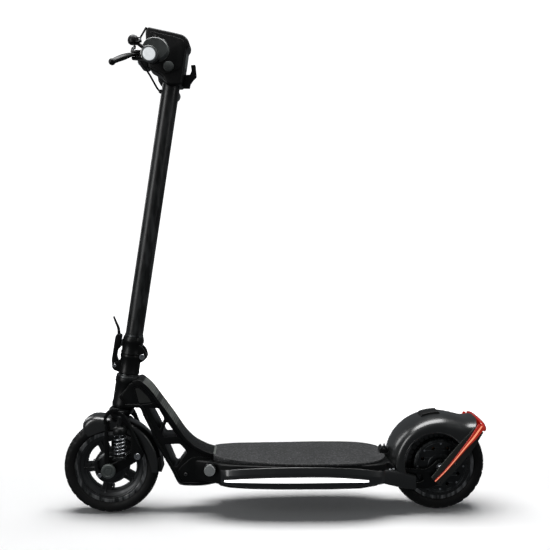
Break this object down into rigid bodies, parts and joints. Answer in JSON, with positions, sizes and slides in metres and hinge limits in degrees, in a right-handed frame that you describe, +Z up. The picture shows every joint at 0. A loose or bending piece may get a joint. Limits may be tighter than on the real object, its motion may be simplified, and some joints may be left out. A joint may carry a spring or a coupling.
{
  "type": "electric kick scooter",
  "caption": "Folding electric kick scooter with sprung front fork, spoked front wheel, hub-motor rear wheel under a skirted fender, rubber deck, side lights and drop bar.",
  "frame": {"origin": "on the ground, midway between the two axles, on the centre plane", "axes": "+Z up, +X towards the rear wheel, +Y towards the rider's right; the scooter faces -X"},
  "size_m": [1.029, 0.4902, 1.1605],
  "materials": {
    "satin_black": "satin black paint on cast and tube aluminium",
    "dark_metal": "dark anodised aluminium",
    "steel": "turned and plated steel",
    "dark_plastic": "fine-grained dark plastic",
    "battery_wrap": "blue shrink wrap",
    "aluminium": "extruded heat sink",
    "deck_rubber": "speckled grip rubber",
    "gloss_charcoal": "glossy charcoal lacquer",
    "white_light": "glowing white diffuser",
    "grey_cap": "light grey plastic",
    "red_light": "glowing red diffuser",
    "tyre_rubber": "black tyre rubber",
    "rim_grey": "painted cast aluminium",
    "copper": "lacquered copper windings",
    "display_glass": "black display window",
    "grip_rubber": "ribbed soft rubber",
    "cable_black": "black cable housing"
  },
  "bodies": {
    "frame": {"main_frame": "satin_black", "headset_upper": "dark_metal", "headset_lower": "steel", "belly_pan": "dark_plastic", "battery_pack": "battery_wrap", "controller": "aluminium", "deck_mat": "deck_rubber", "side_fairing_left": "gloss_charcoal", "side_fairing_right": "gloss_charcoal", "side_light_left": "white_light", "side_light_right": "white_light", "rear_arm_left": "satin_black", "rear_arm_right": "satin_black", "hook_catch": "dark_plastic", "rear_fender": "gloss_charcoal", "tail_light": "red_light", "motor_stator": "copper", "rear_axle": "steel"},
    "charge_cap": {"charge_cap": "grey_cap"},
    "kickstand": {"kickstand": "satin_black"},
    "steering": {"steering_column": "steel", "fork": "satin_black", "spring_left": "steel", "spring_right": "steel", "fold_base": "satin_black", "fold_pin": "steel"},
    "front_suspension": {"link_left": "satin_black", "link_right": "satin_black", "front_axle": "dark_metal", "front_fender": "gloss_charcoal", "brake_plate": "dark_metal"},
    "brake_arm": {"brake_arm": "steel"},
    "front_wheel": {"front_tyre": "tyre_rubber", "front_rim": "rim_grey"},
    "rear_wheel": {"rear_tyre": "tyre_rubber", "rear_rim": "rim_grey", "motor_cover": "dark_metal"},
    "latch": {"latch_lever": "dark_metal"},
    "stem": {"stem_tube": "satin_black", "stem_collar": "satin_black", "head_housing": "dark_plastic", "display_lens": "display_glass", "headlight_housing": "dark_plastic", "headlight_lens": "white_light", "handlebar": "satin_black", "grip_left": "grip_rubber", "grip_right": "grip_rubber", "bar_lamp_left": "white_light", "bar_lamp_right": "white_light", "switch_pod": "dark_plastic", "brake_perch": "satin_black", "bell": "dark_metal", "throttle_housing": "dark_plastic", "brake_cable": "cable_black", "stem_hook": "dark_plastic"},
    "brake_lever": {"brake_lever": "satin_black"},
    "throttle": {"throttle_lever": "dark_plastic"},
    "bell_striker": {"bell_striker": "dark_plastic"},
    "power_button": {"power_button": "dark_plastic"},
    "turn_switch": {"turn_switch": "grey_cap"}
  },
  "joints": [
    {"name": "steer", "type": "hinge", "parent": "frame", "child": "steering", "pos_m": [-0.36449, 0, 0.3], "axis": [0.1564, 0, 0.9877], "range_deg": [-50, 50]},
    {"name": "stem_fold", "type": "hinge", "parent": "steering", "child": "stem", "pos_m": [-0.322, 0, 0.383], "axis": [0, 1, 0], "range_deg": [0, 90]},
    {"name": "fold_latch", "type": "hinge", "parent": "steering", "child": "latch", "pos_m": [-0.38911, 0, 0.36187], "axis": [0, -1, 0], "range_deg": [0, 100]},
    {"name": "front_travel", "type": "hinge", "parent": "steering", "child": "front_suspension", "pos_m": [-0.331, 0, 0.15], "axis": [0, 1, 0], "range_deg": [0, 6], "stiffness_Nm_per_rad": 450, "springref_deg": -3.44, "deforming": ["spring_left", "spring_right"]},
    {"name": "front_spin", "type": "hinge", "parent": "front_suspension", "child": "front_wheel", "pos_m": [-0.4, 0, 0.1145], "axis": [0, 1, 0], "continuous": true},
    {"name": "rear_spin", "type": "hinge", "parent": "frame", "child": "rear_wheel", "pos_m": [0.4, 0, 0.1145], "axis": [0, 1, 0], "continuous": true},
    {"name": "brake_lever_pull", "type": "hinge", "parent": "stem", "child": "brake_lever", "pos_m": [-0.313, -0.118, 1.074], "axis": [0, 0, 1], "range_deg": [0, 18], "stiffness_Nm_per_rad": 0.8, "springref_deg": -5.73},
    {"name": "brake_arm_turn", "type": "hinge", "parent": "front_suspension", "child": "brake_arm", "pos_m": [-0.424, 0, 0.1], "axis": [0, 1, 0], "range_deg": [0, 15]},
    {"name": "throttle_push", "type": "hinge", "parent": "stem", "child": "throttle", "pos_m": [-0.27846, 0.11027, 1.0748], "axis": [0.0883, 0.9762, -0.198], "range_deg": [0, 30], "stiffness_Nm_per_rad": 0.08, "springref_deg": -17.19},
    {"name": "bell_flick", "type": "hinge", "parent": "stem", "child": "bell_striker", "pos_m": [-0.304, -0.109, 1.114], "axis": [0, 0, 1], "range_deg": [0, 30], "stiffness_Nm_per_rad": 0.02, "springref_deg": -11.46},
    {"name": "power_press", "type": "slide", "parent": "stem", "child": "power_button", "axis": [-0.6, 0, -0.8], "range_m": [0, 0.0012], "stiffness_N_per_m": 400, "springref_m": -0.0015},
    {"name": "turn_slide", "type": "slide", "parent": "stem", "child": "turn_switch", "axis": [0, 1, 0], "range_m": [-0.0015, 0.0015]},
    {"name": "kickstand_swing", "type": "hinge", "parent": "frame", "child": "kickstand", "pos_m": [-0.16, 0.068, 0.093], "axis": [0, 1, 0], "range_deg": [0, 114]},
    {"name": "charge_cap_open", "type": "hinge", "parent": "frame", "child": "charge_cap", "pos_m": [-0.158, -0.0724, 0.1345], "axis": [-1, 0, 0], "range_deg": [0, 110]}
  ],
  "couplings": [
    {"joint": "brake_arm_turn", "follows": "brake_lever_pull", "ratio": 0.8333}
  ]
}
